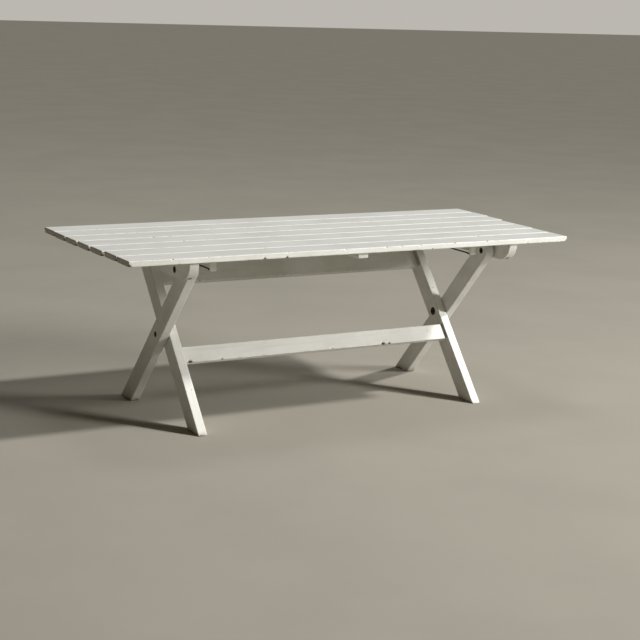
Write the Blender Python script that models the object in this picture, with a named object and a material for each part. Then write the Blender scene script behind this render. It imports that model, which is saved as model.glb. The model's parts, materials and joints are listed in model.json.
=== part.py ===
# Folding slatted table on two crossed trestles, every piece its own closed solid.
# Metres, +Z up. X runs along the slats, +Y points to the back edge, and the origin
# lies on the floor under the middle of the top. Left is -X and right is +X.

from math import atan2, cos, hypot, pi, radians, sin

import bmesh
import bpy
from mathutils import Matrix, Vector

# The top
SLAT_COUNT = 7
SLAT_LENGTH = 2.000
SLAT_WIDTH = 0.115
SLAT_THICKNESS = 0.022
SLAT_GAP = 0.0063
TABLE_HEIGHT = 0.720
LEFT_END_STEPS = (-0.002, -0.002, 0.007, 0.012, 0.017, 0.018, 0.016)  # hand-cut ends, front slat first
RIGHT_END_STEPS = (-0.006, -0.008, -0.004, -0.006, 0.010, 0.018, 0.014)

# Battens under the slats
BATTEN_THICKNESS = 0.038
BATTEN_DEPTH = 0.076
BATTEN_SETBACK = 0.0164      # from the top's front and back edges to the batten's ends
CENTRE_BATTEN_WIDTH = 0.045
CENTRE_BATTEN_DEPTH = 0.022

# Trestle legs
LEG_THICKNESS = 0.0385
LEG_WIDTH = 0.0765
END_OVERHANG = 0.298         # from a slat's end to the outer leg's outer face
LEG_SIDE_GAP = 0.002         # between the two legs of one trestle
PIVOT_SIDE_GAP = 0.0085      # between an outer leg and its batten
OUTER_FOOT_Y = 0.308
INNER_FOOT_Y = -0.277
INNER_TOP_Y = 0.317
TOP_PIVOT_SETBACK = 0.154    # from the top's front edge to the upper hinge axis
TOP_PIVOT_DROP = 0.048       # from the slats' underside to the upper hinge axis
INNER_TOP_CLEARANCE = 0.0013
INNER_TOP_ROUNDING = 0.020   # lets the leg's end roll past the slats as the trestle folds

# Rails between the inner legs
UPPER_RAIL_WIDTH = 0.095
UPPER_RAIL_RISE = 0.222      # from the crossing up the leg to the rail's lower edge
UPPER_RAIL_SETBACK = 0.026   # from the leg's front edge to the rail's face
STRETCHER_WIDTH = 0.070
STRETCHER_FALL = 0.080       # from the crossing down the leg to the stretcher's upper edge
STRETCHER_SETBACK = 0.011
RAIL_THICKNESS = 0.020
TENON_LENGTH = 0.022
TENON_SHOULDER = 0.005       # on the rail's faces
TENON_END_SHOULDER = 0.010   # on the rail's edges

# Hinge bolts
BOLT_RADIUS = 0.005
BOLT_HEAD_RADIUS = 0.011
BOLT_HEAD_HEIGHT = 0.006
BOLT_END_STANDOUT = 0.0015
PIVOT_HEAD_RECESS_RADIUS = 0.013
CROSSING_HEAD_RECESS_RADIUS = 0.0118
HEAD_RECESS_DEPTH = 0.009
NUT_ACROSS_FLATS = 0.017
NUT_THICKNESS = 0.008
PIVOT_NUT_RECESS_RADIUS = 0.012
CROSSING_NUT_RECESS_RADIUS = 0.017
NUT_RECESS_DEPTH = 0.011
CROSSING_WASHER_RADIUS = 0.015
PIVOT_SPACER_RADIUS = 0.020

# Stays that hold the trestles open
BLOCK_WIDTH = 0.026
BLOCK_LENGTH = 0.012
BLOCK_DEPTH = 0.058
BLOCK_SETBACK = 0.1214       # from the top's front edge to the block's front face
STAY_INSET = 0.023           # from the inner leg's inner face to the rod's centre line
STAY_DROP = 0.055            # from the slats' underside to the rod's centre line
STAY_WIRE_RADIUS = 0.003
STAY_HINGE_LOOP_RADIUS = 0.0065
STAY_SLACK = 0.007           # free travel of the stud in the rod's end loop
EYE_WIRE_RADIUS = 0.00175
EYE_RING_RADIUS = 0.006
EYE_NECK = 0.006
EYE_SHANK = 0.009
STUD_RADIUS = 0.003
STUD_STANDOUT = 0.0015       # past the rod's loop
STUD_DEPTH = 0.022

# Slat screws
SCREW_RADIUS = 0.0021
SCREW_HEAD_RADIUS = 0.0042
SCREW_HEAD_HEIGHT = 0.0028
SCREW_HOLE_RADIUS = 0.0078
LONG_SCREW = 0.040
LONG_SCREW_GRIP = 0.024      # wood between the screw's head and the slat
SHORT_SCREW = 0.030
SHORT_SCREW_GRIP = 0.017

EDGE_EASE = 0.0015
GAP = 0.0003                 # between pieces that touch
OVERCUT = 0.002              # how far a cutter runs past the face it opens
ROUND_STEPS = 12             # sides of a small round piece
LEG_ARC_STEPS = 12
BATTEN_ARC_STEPS = 8

# Places that follow from the sizes above
top_width = SLAT_COUNT * SLAT_WIDTH + (SLAT_COUNT - 1) * SLAT_GAP
slat_pitch = SLAT_WIDTH + SLAT_GAP
front_edge_y = -top_width / 2
underside_z = TABLE_HEIGHT - SLAT_THICKNESS
slat_centres = [front_edge_y + SLAT_WIDTH / 2 + i * slat_pitch for i in range(SLAT_COUNT)]

outer_leg_x = SLAT_LENGTH / 2 - END_OVERHANG - LEG_THICKNESS / 2
inner_leg_x = outer_leg_x - LEG_THICKNESS - LEG_SIDE_GAP
inner_face_x = inner_leg_x - LEG_THICKNESS / 2
batten_x = outer_leg_x + LEG_THICKNESS / 2 + PIVOT_SIDE_GAP + BATTEN_THICKNESS / 2

pivot_y = front_edge_y + TOP_PIVOT_SETBACK
pivot_z = underside_z - TOP_PIVOT_DROP
outer_lean = atan2(OUTER_FOOT_Y - pivot_y, pivot_z)             # from upright, towards the front
inner_lean = atan2(INNER_FOOT_Y - INNER_TOP_Y, underside_z)     # negative: towards the back

outer_slope = (OUTER_FOOT_Y - pivot_y) / pivot_z
inner_slope = (INNER_FOOT_Y - INNER_TOP_Y) / underside_z
crossing_z = (OUTER_FOOT_Y - INNER_FOOT_Y) / (outer_slope - inner_slope)
crossing_y = OUTER_FOOT_Y - crossing_z * outer_slope
arm = hypot(crossing_y - pivot_y, crossing_z - pivot_z)         # upper hinge to crossing hinge

stay_x = inner_face_x - STAY_INSET
stay_z = underside_z - STAY_DROP
block_front_y = front_edge_y + BLOCK_SETBACK
block_back_y = block_front_y + BLOCK_LENGTH
eye_ring_y = block_back_y + EYE_NECK + EYE_RING_RADIUS
stay_hinge_y = eye_ring_y + EYE_RING_RADIUS
stud_y = INNER_FOOT_Y - stay_z * inner_slope
hook_loop_radius = STUD_RADIUS + STAY_SLACK / 2 + GAP + STAY_WIRE_RADIUS
hook_loop_y = stud_y + STAY_SLACK / 2


def clear_scene():
    for item in list(bpy.data.objects):
        bpy.data.objects.remove(item, do_unlink=True)


def make_material(name, colour, roughness, metallic):
    material = bpy.data.materials.new(name)
    material.use_nodes = True
    shader = material.node_tree.nodes["Principled BSDF"]
    shader.inputs["Base Color"].default_value = (*colour, 1.0)
    shader.inputs["Roughness"].default_value = roughness
    shader.inputs["Metallic"].default_value = metallic
    return material


def add_piece(name, bm, material, location=(0, 0, 0), rotation=(0, 0, 0), parent=None):
    """Turn a bmesh into a linked object with one material."""
    bmesh.ops.recalc_face_normals(bm, faces=bm.faces)
    mesh = bpy.data.meshes.new(name)
    bm.to_mesh(mesh)
    bm.free()
    mesh.materials.append(material)
    piece = bpy.data.objects.new(name, mesh)
    piece.location = location
    piece.rotation_euler = rotation
    piece.parent = parent
    bpy.context.collection.objects.link(piece)
    return piece


def smooth(piece):
    piece.data.shade_smooth()
    piece.data.set_sharp_from_angle(angle=radians(35))
    return piece


def ease_edges(bm):
    """Take the sharp corners off a board, leaving the facets of its arcs alone."""
    sharp = [edge for edge in bm.edges if edge.calc_face_angle(0) > radians(40)]
    bmesh.ops.bevel(bm, geom=sharp, offset=EDGE_EASE, offset_type="OFFSET", segments=1,
                    profile=0.5, affect="EDGES", clamp_overlap=True, material=-1)


def box_bmesh(size):
    bm = bmesh.new()
    bmesh.ops.create_cube(bm, size=1.0)
    bmesh.ops.scale(bm, vec=size, verts=bm.verts)
    return bm


def outline_bmesh(outline, thickness):
    """Extrude an outline of (y, z) points along X, centred on X = 0."""
    bm = bmesh.new()
    corners = [bm.verts.new((-thickness / 2, y, z)) for y, z in outline]
    face = bm.faces.new(corners)
    raised = bmesh.ops.extrude_face_region(bm, geom=[face])
    moved = [item for item in raised["geom"] if isinstance(item, bmesh.types.BMVert)]
    bmesh.ops.translate(bm, verts=moved, vec=(thickness, 0, 0))
    bmesh.ops.recalc_face_normals(bm, faces=bm.faces)
    return bm


def add_turned(bm, profile, place=Matrix.Identity(4), steps=ROUND_STEPS):
    """Spin a profile of (radius, height) points, which starts and ends on the axis, about Z."""
    points = [bm.verts.new(place @ Vector((radius, 0, height))) for radius, height in profile]
    edges = [bm.edges.new(pair) for pair in zip(points, points[1:])]
    bmesh.ops.spin(bm, geom=points + edges, cent=place.translation,
                   axis=place.to_3x3() @ Vector((0, 0, 1)), angle=2 * pi, steps=steps, use_merge=True)
    bmesh.ops.remove_doubles(bm, verts=bm.verts, dist=1e-6)


def turned_bmesh(profile, steps=ROUND_STEPS):
    bm = bmesh.new()
    add_turned(bm, profile, steps=steps)
    return bm


def outward(side):
    """Rotation that turns +Z to the trestle's outer side, -X on the left and +X on the right."""
    return Matrix.Rotation(side * pi / 2, 4, "Y")


def cut(target, bm):
    """Subtract a bmesh, given in the target's own frame, from the target."""
    bmesh.ops.recalc_face_normals(bm, faces=bm.faces)
    mesh = bpy.data.meshes.new("cut_" + target.name)
    bm.to_mesh(mesh)
    bm.free()
    cutter = bpy.data.objects.new("cut_" + target.name, mesh)
    cutter.parent = target
    cutter.hide_render = True
    cutter.display_type = "WIRE"
    bpy.context.collection.objects.link(cutter)
    modifier = target.modifiers.new("bores", "BOOLEAN")
    modifier.operation = "DIFFERENCE"
    modifier.solver = "EXACT"
    modifier.object = cutter


def stepped_hole(start, step, end, first_radius, last_radius):
    """Profile of a hole that changes its radius at one height."""
    return [(0, start), (first_radius, start), (first_radius, step),
            (last_radius, step), (last_radius, end), (0, end)]


def plain_hole(start, end, radius):
    return [(0, start), (radius, start), (radius, end), (0, end)]


def leg_end(lean, pivot_height, level, width_side):
    """Distance along a leg, from its pivot, to where one edge meets a level plane."""
    return (level - pivot_height - width_side * sin(lean)) / cos(lean)


# The top: slats, battens and their screws

def make_slats(paint):
    for index, centre_y in enumerate(slat_centres):
        left_end = -SLAT_LENGTH / 2 - LEFT_END_STEPS[index]
        right_end = SLAT_LENGTH / 2 + RIGHT_END_STEPS[index]
        middle_x = (left_end + right_end) / 2
        bm = box_bmesh((right_end - left_end, SLAT_WIDTH, SLAT_THICKNESS))
        ease_edges(bm)
        slat = add_piece(f"slat_{index + 1}", bm, paint, (middle_x, centre_y, TABLE_HEIGHT - SLAT_THICKNESS / 2))
        holes = bmesh.new()
        for x, length, grip in screw_rows():
            start = -SLAT_THICKNESS / 2 - OVERCUT
            end = -SLAT_THICKNESS / 2 + screw_bite(length, grip) + GAP
            place = Matrix.Translation((x - middle_x, 0, 0))
            add_turned(holes, plain_hole(start, end, SCREW_RADIUS + GAP), place)
        cut(slat, holes)


def screw_rows():
    """Where each row of slat screws stands, with its screws' length and grip."""
    return ((-batten_x, LONG_SCREW, LONG_SCREW_GRIP), (0.0, SHORT_SCREW, SHORT_SCREW_GRIP),
            (batten_x, LONG_SCREW, LONG_SCREW_GRIP))


def screw_bite(length, grip):
    return length - SCREW_HEAD_HEIGHT - GAP - grip


def batten_outline():
    """Side view of an outer batten: a straight top, and ends that curve down to the lower edge."""
    half = top_width / 2 - BATTEN_SETBACK
    points = []
    for end, first in ((1, 0), (-1, 90)):
        for step in range(BATTEN_ARC_STEPS + 1):
            angle = radians(first + (90 * step / BATTEN_ARC_STEPS))
            reach = BATTEN_DEPTH * (cos(angle) if end > 0 else sin(angle - pi / 2))
            drop = BATTEN_DEPTH * (sin(angle) if end > 0 else cos(angle - pi / 2))
            points.append((end * (half - BATTEN_DEPTH + reach), -drop))
    return points


def make_battens(paint):
    for side, name in ((-1, "left"), (1, "right")):
        bm = outline_bmesh(batten_outline(), BATTEN_THICKNESS)
        ease_edges(bm)
        batten = add_piece(f"batten_{name}", bm, paint, (side * batten_x, 0, underside_z - GAP))
        holes = bmesh.new()
        screw_holes(holes, BATTEN_DEPTH, LONG_SCREW_GRIP)
        place = Matrix.Translation((0, pivot_y, pivot_z - underside_z + GAP)) @ outward(side)
        face = BATTEN_THICKNESS / 2
        profile = stepped_hole(-face - OVERCUT, face - HEAD_RECESS_DEPTH, face + OVERCUT,
                               BOLT_RADIUS + GAP, PIVOT_HEAD_RECESS_RADIUS)
        add_turned(holes, profile, place, steps=2 * ROUND_STEPS)
        cut(batten, holes)

    length = top_width - 2 * BATTEN_SETBACK
    bm = box_bmesh((CENTRE_BATTEN_WIDTH, length, CENTRE_BATTEN_DEPTH))
    bmesh.ops.translate(bm, verts=bm.verts, vec=(0, 0, -CENTRE_BATTEN_DEPTH / 2))
    ease_edges(bm)
    batten = add_piece("batten_centre", bm, paint, (0, 0, underside_z - GAP))
    holes = bmesh.new()
    screw_holes(holes, CENTRE_BATTEN_DEPTH, SHORT_SCREW_GRIP)
    cut(batten, holes)


def screw_holes(bm, depth, grip):
    """Counterbored holes from a batten's lower edge, one under the middle of each slat."""
    for y in slat_centres:
        profile = stepped_hole(-depth - OVERCUT, -grip, OVERCUT, SCREW_HOLE_RADIUS, SCREW_RADIUS + GAP)
        add_turned(bm, profile, Matrix.Translation((0, y, 0)))


def make_slat_screws(steel):
    for (x, length, grip), name in zip(screw_rows(), ("left", "centre", "right")):
        shoulder = SCREW_HEAD_HEIGHT
        profile = [(0, 0), (SCREW_HEAD_RADIUS * 0.8, 0), (SCREW_HEAD_RADIUS, shoulder * 0.4),
                   (SCREW_HEAD_RADIUS, shoulder), (SCREW_RADIUS, shoulder),
                   (SCREW_RADIUS, length - 3 * SCREW_RADIUS), (0, length)]
        head_z = underside_z - 2 * GAP - grip - SCREW_HEAD_HEIGHT
        for index, y in enumerate(slat_centres):
            screw = add_piece(f"slat_screw_{name}_{index + 1}", turned_bmesh(profile, steps=8), steel,
                              (x, y, head_z))
            smooth(screw)


# The trestles

def make_outer_leg(side, name, paint):
    half = LEG_WIDTH / 2
    outline = [(-half, leg_end(outer_lean, pivot_z, 0, -half)), (half, leg_end(outer_lean, pivot_z, 0, half))]
    for step in range(LEG_ARC_STEPS + 1):
        angle = pi * step / LEG_ARC_STEPS
        outline.append((half * cos(angle), half * sin(angle)))
    bm = outline_bmesh(outline, LEG_THICKNESS)
    ease_edges(bm)
    leg = add_piece(f"outer_leg_{name}", bm, paint, (side * outer_leg_x, pivot_y, pivot_z), (outer_lean, 0, 0))
    face = LEG_THICKNESS / 2
    holes = bmesh.new()
    profile = stepped_hole(-face - OVERCUT, -face + NUT_RECESS_DEPTH, face + OVERCUT,
                           PIVOT_NUT_RECESS_RADIUS, BOLT_RADIUS + GAP)
    add_turned(holes, profile, outward(side), steps=2 * ROUND_STEPS)
    profile = stepped_hole(-face - OVERCUT, face - HEAD_RECESS_DEPTH, face + OVERCUT,
                           BOLT_RADIUS + GAP, CROSSING_HEAD_RECESS_RADIUS)
    place = Matrix.Translation((0, 0, -arm)) @ outward(side)
    add_turned(holes, profile, place, steps=2 * ROUND_STEPS)
    cut(leg, holes)


def make_inner_frame(paint, iron):
    frame = bpy.data.objects.new("inner_frame_pivot", None)
    frame.location = (0, crossing_y, crossing_z)
    frame.rotation_euler = (inner_lean, 0, 0)
    bpy.context.collection.objects.link(frame)
    for side, name in ((-1, "left"), (1, "right")):
        make_inner_leg(side, name, paint, frame)
        make_stay_stud(side, name, iron, frame)
    rail_from = UPPER_RAIL_RISE
    make_rail("upper_rail", rail_from, rail_from + UPPER_RAIL_WIDTH, UPPER_RAIL_SETBACK, paint, frame)
    rail_to = -STRETCHER_FALL
    make_rail("lower_stretcher", rail_to - STRETCHER_WIDTH, rail_to, STRETCHER_SETBACK, paint, frame)


def make_inner_leg(side, name, paint, frame):
    half = LEG_WIDTH / 2
    top = underside_z - INNER_TOP_CLEARANCE
    outline = [(-half, leg_end(inner_lean, crossing_z, 0, -half)), (half, leg_end(inner_lean, crossing_z, 0, half)),
               (half, leg_end(inner_lean, crossing_z, top, half)),
               (-half, leg_end(inner_lean, crossing_z, top, -half))]
    bm = outline_bmesh(outline, LEG_THICKNESS)
    front_top = [edge for edge in bm.edges if all(abs(v.co.y + half) < 1e-6 and v.co.z > 0 for v in edge.verts)]
    bmesh.ops.bevel(bm, geom=front_top, offset=INNER_TOP_ROUNDING, offset_type="OFFSET", segments=6,
                    profile=0.5, affect="EDGES", clamp_overlap=True, material=-1)
    ease_edges(bm)
    leg = add_piece(f"inner_leg_{name}", bm, paint, (side * inner_leg_x, 0, 0), parent=frame)
    face = LEG_THICKNESS / 2
    holes = bmesh.new()
    profile = stepped_hole(-face - OVERCUT, -face + NUT_RECESS_DEPTH, face + OVERCUT,
                           CROSSING_NUT_RECESS_RADIUS, BOLT_RADIUS + GAP)
    add_turned(holes, profile, outward(side), steps=2 * ROUND_STEPS)
    profile = plain_hole(-face - OVERCUT, -face + STUD_DEPTH + GAP, STUD_RADIUS + GAP)
    add_turned(holes, profile, Matrix.Translation((0, 0, stud_rise())) @ outward(side))
    for low, high, setback in rail_places():
        depth = TENON_LENGTH + GAP + OVERCUT
        size = (depth, RAIL_THICKNESS - 2 * TENON_SHOULDER + 2 * GAP, high - low - 2 * TENON_END_SHOULDER + 2 * GAP)
        centre_x = -side * (face + OVERCUT - depth / 2)
        centre_y = -half + setback + RAIL_THICKNESS / 2
        mortise = Matrix.Translation((centre_x, centre_y, (low + high) / 2)) @ Matrix.Diagonal((*size, 1))
        bmesh.ops.create_cube(holes, size=1.0, matrix=mortise)
    cut(leg, holes)


def rail_places():
    """Lower edge, upper edge and setback of each rail, along the inner legs from the crossing."""
    return ((UPPER_RAIL_RISE, UPPER_RAIL_RISE + UPPER_RAIL_WIDTH, UPPER_RAIL_SETBACK),
            (-STRETCHER_FALL - STRETCHER_WIDTH, -STRETCHER_FALL, STRETCHER_SETBACK))


def stud_rise():
    return hypot(stud_y - crossing_y, stay_z - crossing_z)


def make_rail(name, low, high, setback, paint, frame):
    """A board between the inner legs, with a tenon on each end."""
    width = high - low
    bm = box_bmesh((2 * (inner_face_x - GAP), RAIL_THICKNESS, width))
    lengthwise = [edge for edge in bm.edges if abs(edge.verts[0].co.x - edge.verts[1].co.x) > 1e-6]
    bmesh.ops.bevel(bm, geom=lengthwise, offset=EDGE_EASE, offset_type="OFFSET", segments=1,
                    profile=0.5, affect="EDGES", clamp_overlap=True, material=-1)
    tenon_scale = (1, 1 - 2 * TENON_SHOULDER / RAIL_THICKNESS, 1 - 2 * TENON_END_SHOULDER / width)
    for end in (-1, 1):
        bm.normal_update()
        cap = [face for face in bm.faces if face.normal.x * end > 0.9]
        inner = bmesh.ops.extrude_face_region(bm, geom=cap)
        bmesh.ops.delete(bm, geom=cap, context="FACES_ONLY")
        corners = [item for item in inner["geom"] if isinstance(item, bmesh.types.BMVert)]
        bmesh.ops.scale(bm, vec=tenon_scale, verts=corners)
        shoulder = [item for item in inner["geom"] if isinstance(item, bmesh.types.BMFace)]
        tip = bmesh.ops.extrude_face_region(bm, geom=shoulder)
        bmesh.ops.delete(bm, geom=shoulder, context="FACES_ONLY")
        corners = [item for item in tip["geom"] if isinstance(item, bmesh.types.BMVert)]
        bmesh.ops.translate(bm, verts=corners, vec=(end * TENON_LENGTH, 0, 0))
    centre_y = -LEG_WIDTH / 2 + setback + RAIL_THICKNESS / 2
    add_piece(name, bm, paint, (0, centre_y, (low + high) / 2), parent=frame)


# Hinge hardware

def bolt_profile(head_seat, end):
    """A round-headed bolt, its head outwards: heights are measured outwards along its axis."""
    profile = [(0, end), (BOLT_RADIUS * 0.8, end), (BOLT_RADIUS, end + BOLT_RADIUS * 0.2), (BOLT_RADIUS, head_seat)]
    for step in range(6):
        angle = pi / 2 * step / 6
        profile.append((BOLT_HEAD_RADIUS * cos(angle), head_seat + BOLT_HEAD_HEIGHT * sin(angle)))
    profile.append((0, head_seat + BOLT_HEAD_HEIGHT))
    return profile


def make_nut(name, location, side, iron):
    bm = bmesh.new()
    bmesh.ops.create_cone(bm, cap_ends=True, segments=6, radius1=NUT_ACROSS_FLATS / 2 / cos(pi / 6),
                          radius2=NUT_ACROSS_FLATS / 2 / cos(pi / 6), depth=NUT_THICKNESS)
    nut = add_piece(name, bm, iron, location, outward(side).to_euler())
    bore = bmesh.new()
    half = NUT_THICKNESS / 2 + OVERCUT
    add_turned(bore, plain_hole(-half, half, BOLT_RADIUS + GAP), steps=2 * ROUND_STEPS)
    cut(nut, bore)


def make_ring(name, radius, thickness, location, side, material):
    """A flat round ring with a hole for the bolt."""
    hole = BOLT_RADIUS + GAP
    bm = bmesh.new()
    half = thickness / 2
    corners = [bm.verts.new((r, 0, z)) for r, z in ((hole, -half), (radius, -half), (radius, half), (hole, half))]
    edges = [bm.edges.new((corners[i - 1], corners[i])) for i in range(4)]
    bmesh.ops.spin(bm, geom=corners + edges, cent=(0, 0, 0), axis=(0, 0, 1), angle=2 * pi,
                   steps=2 * ROUND_STEPS, use_merge=True)
    bmesh.ops.remove_doubles(bm, verts=bm.verts, dist=1e-6)
    smooth(add_piece(name, bm, material, location, outward(side).to_euler()))


def make_hinges(side, name, iron, wood):
    leg_face = LEG_THICKNESS / 2

    bolt_x = side * outer_leg_x
    seat = leg_face + PIVOT_SIDE_GAP + BATTEN_THICKNESS - HEAD_RECESS_DEPTH + GAP
    nut_centre = -leg_face + NUT_RECESS_DEPTH - GAP - NUT_THICKNESS / 2
    end = nut_centre - NUT_THICKNESS / 2 - BOLT_END_STANDOUT
    bolt = add_piece(f"pivot_bolt_{name}", turned_bmesh(bolt_profile(seat, end), steps=2 * ROUND_STEPS), iron,
                     (bolt_x, pivot_y, pivot_z), outward(side).to_euler())
    smooth(bolt)
    make_nut(f"pivot_nut_{name}", (bolt_x + side * nut_centre, pivot_y, pivot_z), side, iron)
    spacer_x = side * (outer_leg_x + leg_face + PIVOT_SIDE_GAP / 2)
    make_ring(f"pivot_spacer_{name}", PIVOT_SPACER_RADIUS, PIVOT_SIDE_GAP - 2 * GAP,
              (spacer_x, pivot_y, pivot_z), side, wood)

    bolt_x = side * inner_leg_x
    seat = leg_face + LEG_SIDE_GAP + LEG_THICKNESS - HEAD_RECESS_DEPTH + GAP
    bolt = add_piece(f"crossing_bolt_{name}", turned_bmesh(bolt_profile(seat, end), steps=2 * ROUND_STEPS), iron,
                     (bolt_x, crossing_y, crossing_z), outward(side).to_euler())
    smooth(bolt)
    make_nut(f"crossing_nut_{name}", (bolt_x + side * nut_centre, crossing_y, crossing_z), side, iron)
    washer_x = side * (inner_leg_x + leg_face + LEG_SIDE_GAP / 2)
    make_ring(f"crossing_washer_{name}", CROSSING_WASHER_RADIUS, LEG_SIDE_GAP - 2 * GAP,
              (washer_x, crossing_y, crossing_z), side, iron)


# Stays

def make_wire(name, points, radius, location, iron):
    """A round wire along a list of points."""
    curve = bpy.data.curves.new(name, "CURVE")
    curve.dimensions = "3D"
    curve.bevel_depth = radius
    curve.bevel_resolution = 1
    curve.use_fill_caps = True
    spline = curve.splines.new("POLY")
    spline.points.add(len(points) - 1)
    for point, place in zip(spline.points, points):
        point.co = (*place, 1)
    curve.materials.append(iron)
    wire = bpy.data.objects.new(name, curve)
    wire.location = location
    bpy.context.collection.objects.link(wire)
    return wire


def arc(radius, first, last, steps):
    """Points of an arc as (forward, sideways) pairs, with angles in degrees."""
    angles = [radians(first + (last - first) * i / steps) for i in range(steps + 1)]
    return [(radius * cos(a), radius * sin(a)) for a in angles]


def make_stay(side, name, paint, iron):
    bm = box_bmesh((BLOCK_WIDTH, BLOCK_LENGTH, BLOCK_DEPTH))
    ease_edges(bm)
    block_y = (block_front_y + block_back_y) / 2
    block_z = underside_z - GAP - BLOCK_DEPTH / 2
    block = add_piece(f"stay_block_{name}", bm, paint, (side * stay_x, block_y, block_z))
    hole = bmesh.new()
    place = Matrix.Translation((0, BLOCK_LENGTH / 2, stay_z - block_z)) @ Matrix.Rotation(pi / 2, 4, "X")
    add_turned(hole, plain_hole(-OVERCUT, EYE_SHANK + GAP, EYE_WIRE_RADIUS + GAP), place)
    cut(block, hole)

    # Screw eye: a shank along Y into the block, then an upright ring
    points = [(0, block_back_y - EYE_SHANK - stay_hinge_y, 0)]
    for forward, up in arc(EYE_RING_RADIUS, 180, 490, 18):
        points.append((0, forward - EYE_RING_RADIUS, up))
    make_wire(f"stay_eye_{name}", points, EYE_WIRE_RADIUS, (side * stay_x, stay_hinge_y, stay_z), iron)

    # Rod: a level loop through the eye, a straight run, and an upright loop over the stud
    points = []
    for forward, sideways in arc(STAY_HINGE_LOOP_RADIUS, 298, 0, 14):
        points.append((-side * sideways, forward, 0))
    loop_y = hook_loop_y - stay_hinge_y
    for forward, up in arc(hook_loop_radius, 180, 180 - 320, 16):
        points.append((0, loop_y + forward, up))
    make_wire(f"stay_rod_{name}", points, STAY_WIRE_RADIUS, (side * stay_x, stay_hinge_y, stay_z), iron)


def make_stay_stud(side, name, iron, frame):
    tip = STAY_INSET + STAY_WIRE_RADIUS + STUD_STANDOUT
    end = STUD_RADIUS * 0.3
    profile = [(0, -tip), (STUD_RADIUS - end, -tip), (STUD_RADIUS, -tip + end),
               (STUD_RADIUS, STUD_DEPTH), (0, STUD_DEPTH)]
    stud = add_piece(f"stay_stud_{name}", turned_bmesh(profile), iron,
                     (side * inner_face_x, 0, stud_rise()), outward(side).to_euler(), frame)
    smooth(stud)


def main():
    clear_scene()
    paint = make_material("off_white_paint", (0.78, 0.77, 0.70), 0.45, 0.0)
    wood = make_material("bare_pine", (0.36, 0.24, 0.14), 0.7, 0.0)
    iron = make_material("dark_iron", (0.05, 0.04, 0.035), 0.6, 0.8)
    steel = make_material("dull_steel", (0.30, 0.29, 0.27), 0.5, 0.9)
    make_slats(paint)
    make_battens(paint)
    make_slat_screws(steel)
    make_inner_frame(paint, iron)
    for side, name in ((-1, "left"), (1, "right")):
        make_outer_leg(side, name, paint)
        make_hinges(side, name, iron, wood)
        make_stay(side, name, paint, iron)


main()
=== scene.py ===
import json
from math import cos, hypot, pi, radians, sin, tau

import bmesh
import bpy
import numpy as np
from mathutils import Matrix, Vector, geometry, noise


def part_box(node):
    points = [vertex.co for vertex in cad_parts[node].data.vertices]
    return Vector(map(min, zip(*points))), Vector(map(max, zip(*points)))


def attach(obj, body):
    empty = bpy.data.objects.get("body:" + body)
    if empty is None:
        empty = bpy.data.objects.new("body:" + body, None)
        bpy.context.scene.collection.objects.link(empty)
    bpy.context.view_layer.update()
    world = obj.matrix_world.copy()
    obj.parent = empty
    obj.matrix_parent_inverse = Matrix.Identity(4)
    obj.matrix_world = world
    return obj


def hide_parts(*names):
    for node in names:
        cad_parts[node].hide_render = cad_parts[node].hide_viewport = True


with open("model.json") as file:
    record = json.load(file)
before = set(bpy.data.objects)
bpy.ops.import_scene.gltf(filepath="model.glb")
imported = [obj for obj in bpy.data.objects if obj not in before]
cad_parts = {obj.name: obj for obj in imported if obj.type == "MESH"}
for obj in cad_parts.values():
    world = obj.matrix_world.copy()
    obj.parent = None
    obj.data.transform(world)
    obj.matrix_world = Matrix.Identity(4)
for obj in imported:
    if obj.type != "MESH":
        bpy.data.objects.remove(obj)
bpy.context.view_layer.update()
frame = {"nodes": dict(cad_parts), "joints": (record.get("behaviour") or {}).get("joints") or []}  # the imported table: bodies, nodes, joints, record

sides = (("left", "Left", -1), ("right", "Right", 1))
touchGap = 0.0003  # metres left between pieces that touch
overcut = 0.003  # how far a cutter runs past the face it opens
slatNumbers = range(1, 8)  # counted from the front


# Where the boards lie: their own axes run along the grain, across it and through the board

def nodePoints(node):
    mesh = frame["nodes"][node].data
    points = np.zeros(len(mesh.vertices) * 3)
    mesh.vertices.foreach_get("co", points)
    return points.reshape(-1, 3)


def boxMiddle(node):
    low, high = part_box(node)
    return (low + high) / 2


def boardPlace(node, along, through):
    along = Vector(along).normalized()
    through = Vector(through).normalized()
    axes = Matrix((along, through.cross(along), through)).transposed()
    points = nodePoints(node) @ np.array(axes)
    low, high = points.min(0), points.max(0)
    middle = Vector(((low + high) / 2).tolist())
    half = Vector(((high - low) / 2).tolist())
    return Matrix.Translation(axes @ middle) @ axes.to_4x4(), half


def onBoard(place, point):
    # a point of the table's cross-section in the axes of a board that crosses it
    return place.inverted() @ Vector((place.translation.x, point.y, point.z))


jointPlace = {joint["name"]: Vector(joint["pos_m"]) for joint in frame["joints"]}
foldPoint = Vector((0, *jointPlace["fold_left"][1:]))  # upper hinge line
crossPoint = Vector((0, *jointPlace["crossing"][1:]))  # hinge line where the legs cross
studPoint = Vector((0, *boxMiddle("stay_stud_left")[1:]))  # on the inner leg's centre line
outerLegLine = (foldPoint - crossPoint).normalized()
innerLegLine = (studPoint - crossPoint).normalized()
innerLegFront = Vector((1, 0, 0)).cross(innerLegLine)
print("frame loaded:", len(frame["nodes"]), "nodes")


# Building a board

def outwardAxis(side):
    return Matrix.Rotation(0 if side > 0 else pi, 4, "X")


def spinProfile(bm, profile, place=Matrix.Identity(4), steps=48):
    # a profile of (radius, height) that starts and ends on the axis, turned about its own Z
    points = [bm.verts.new(place @ Vector((radius, 0, height))) for radius, height in profile]
    edges = [bm.edges.new(pair) for pair in zip(points, points[1:])]
    bmesh.ops.spin(bm, geom=points + edges, cent=place.translation,
                   axis=place.to_3x3() @ Vector((0, 0, 1)), angle=tau, steps=steps, use_merge=True)
    bmesh.ops.remove_doubles(bm, verts=bm.verts, dist=1e-6)
    bmesh.ops.recalc_face_normals(bm, faces=bm.faces)


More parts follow.
